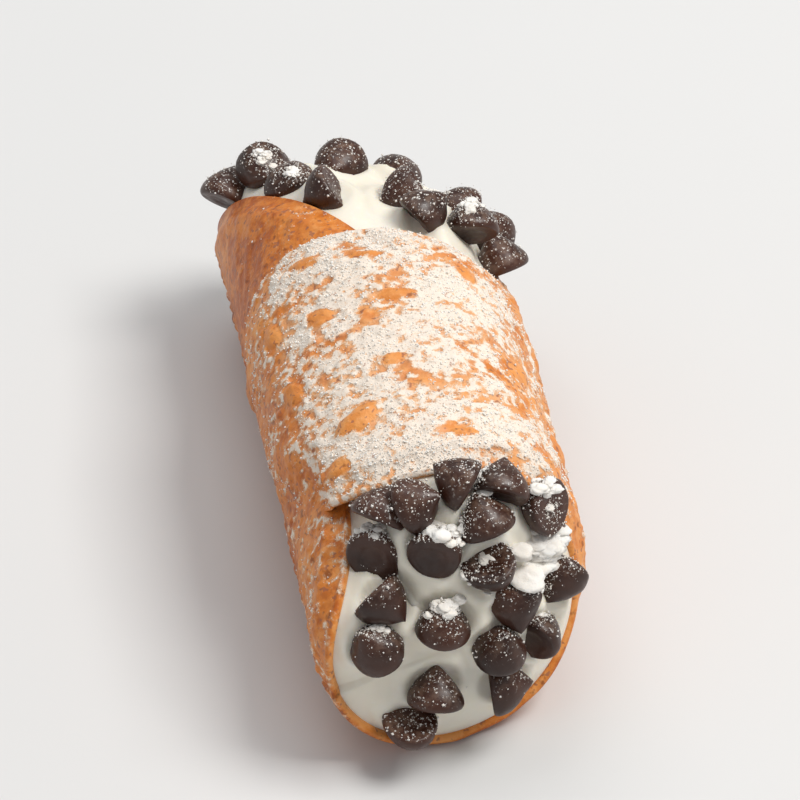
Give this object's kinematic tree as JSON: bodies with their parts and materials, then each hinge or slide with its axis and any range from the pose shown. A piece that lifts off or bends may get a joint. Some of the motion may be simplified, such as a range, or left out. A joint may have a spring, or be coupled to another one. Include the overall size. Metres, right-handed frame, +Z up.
{
  "type": "filled cannolo pastry",
  "caption": "Small fried pastry tube filled with cream, with dark chocolate drops pressed into the cream at both open ends.",
  "frame": {"origin": "middle of the whole seen from above, at the level of the flat strip that it rests on", "axes": "+Y along the roll towards its back mouth, +Z up, +X to the right seen from the front mouth at -Y"},
  "size_m": [0.0369, 0.0883, 0.0362],
  "materials": {
    "crust": "fried blistered dough, golden brown, dusted with white sugar",
    "cream": "smooth moist off-white cream",
    "chocolate": "dark chocolate, satin, partly powdered with sugar"
  },
  "bodies": {
    "root": {"chip_back_01": "chocolate", "chip_back_02": "chocolate", "chip_back_03": "chocolate", "chip_back_04": "chocolate", "chip_back_05": "chocolate", "chip_back_06": "chocolate", "chip_back_07": "chocolate", "chip_back_08": "chocolate", "chip_back_09": "chocolate", "chip_back_10": "chocolate", "chip_back_11": "chocolate", "chip_back_12": "chocolate", "chip_back_13": "chocolate", "chip_back_14": "chocolate", "chip_back_15": "chocolate", "chip_back_16": "chocolate", "chip_back_17": "chocolate", "chip_back_18": "chocolate", "chip_back_19": "chocolate", "chip_back_20": "chocolate", "chip_front_01": "chocolate", "chip_front_02": "chocolate", "chip_front_03": "chocolate", "chip_front_04": "chocolate", "chip_front_05": "chocolate", "chip_front_06": "chocolate", "chip_front_07": "chocolate", "chip_front_08": "chocolate", "chip_front_09": "chocolate", "chip_front_10": "chocolate", "chip_front_11": "chocolate", "chip_front_12": "chocolate", "chip_front_13": "chocolate", "chip_front_14": "chocolate", "chip_front_15": "chocolate", "chip_front_16": "chocolate", "chip_front_17": "chocolate", "chip_front_18": "chocolate", "chip_front_19": "chocolate", "chip_front_20": "chocolate", "cream": "cream", "shell": "crust"}
  },
  "joints": []
}
